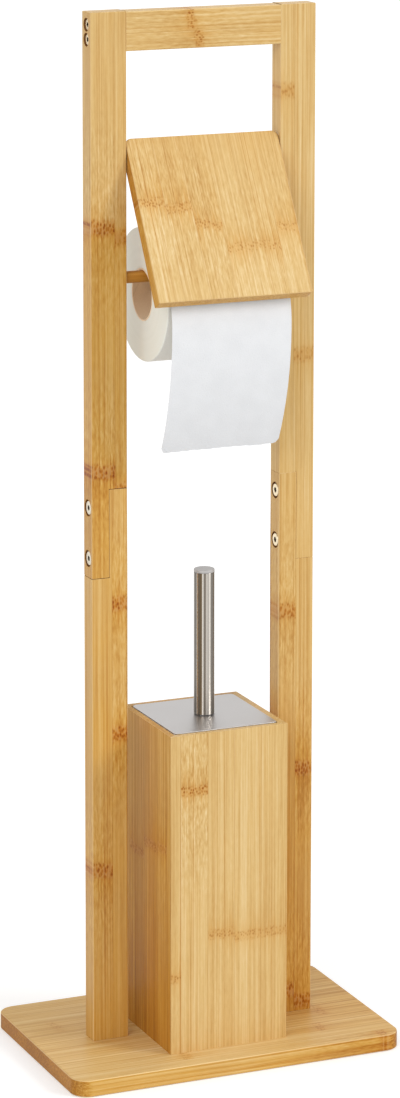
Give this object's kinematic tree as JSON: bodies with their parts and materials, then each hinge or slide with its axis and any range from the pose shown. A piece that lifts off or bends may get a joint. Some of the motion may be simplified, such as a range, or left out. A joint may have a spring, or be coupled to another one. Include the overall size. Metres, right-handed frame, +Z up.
{
  "type": "toilet roll and brush stand",
  "caption": "Free-standing bamboo stand with a roll on a rod under a hinged lid, and a brush with a steel handle in a square box on the base.",
  "frame": {"origin": "middle of the underside of the base plate", "axes": "+X to the right seen from the front, +Y to the back, +Z up; the lid and the hanging paper are at the front"},
  "size_m": [0.28, 0.179, 0.8335],
  "materials": {
    "bamboo": "satin",
    "zinc": "satin",
    "brass": "satin",
    "steel": "satin",
    "paper": "matte",
    "card": "matte",
    "plastic": "satin"
  },
  "bodies": {
    "frame": {"base_plate": "bamboo", "left_post_lower": "bamboo", "right_post_lower": "bamboo", "left_post_upper": "bamboo", "right_post_upper": "bamboo", "top_rail": "bamboo", "lap_bolts": "zinc", "lap_sleeve_nuts": "zinc", "rail_screws": "zinc", "foot_bolts": "zinc", "foot_inserts": "brass", "foot_dowels": "bamboo", "paper_tail": "paper", "box_front": "bamboo", "box_back": "bamboo", "box_left": "bamboo", "box_right": "bamboo", "box_bottom": "bamboo", "box_screws": "zinc", "box_liner": "plastic"},
    "lid": {"lid_panel": "bamboo", "lid_pins": "zinc"},
    "roll": {"roll_core": "card", "paper_winding": "paper"},
    "rod": {"roll_rod": "bamboo"},
    "brush": {"cover_plate": "steel", "handle_tube": "steel", "handle_cap": "steel", "handle_foot": "steel", "brush_stem": "steel", "stem_nut": "steel", "brush_hub": "plastic", "brush_tufts": "plastic"}
  },
  "joints": [
    {"name": "lid_hinge", "type": "hinge", "parent": "frame", "child": "lid", "pos_m": [0, -0.005, 0.7255], "axis": [-1, 0, 0], "range_deg": [0, 140]},
    {"name": "roll_spin", "type": "hinge", "parent": "frame", "child": "roll", "pos_m": [0.001, -0.00325, 0.61105], "axis": [1, 0, 0], "continuous": true},
    {"name": "rod_slide", "type": "slide", "parent": "frame", "child": "rod", "axis": [1, 0, 0], "range_m": [0, 0.0085]},
    {"name": "brush_lift", "type": "slide", "parent": "frame", "child": "brush", "axis": [0, 0, 1], "range_m": [0, 0.165]}
  ]
}
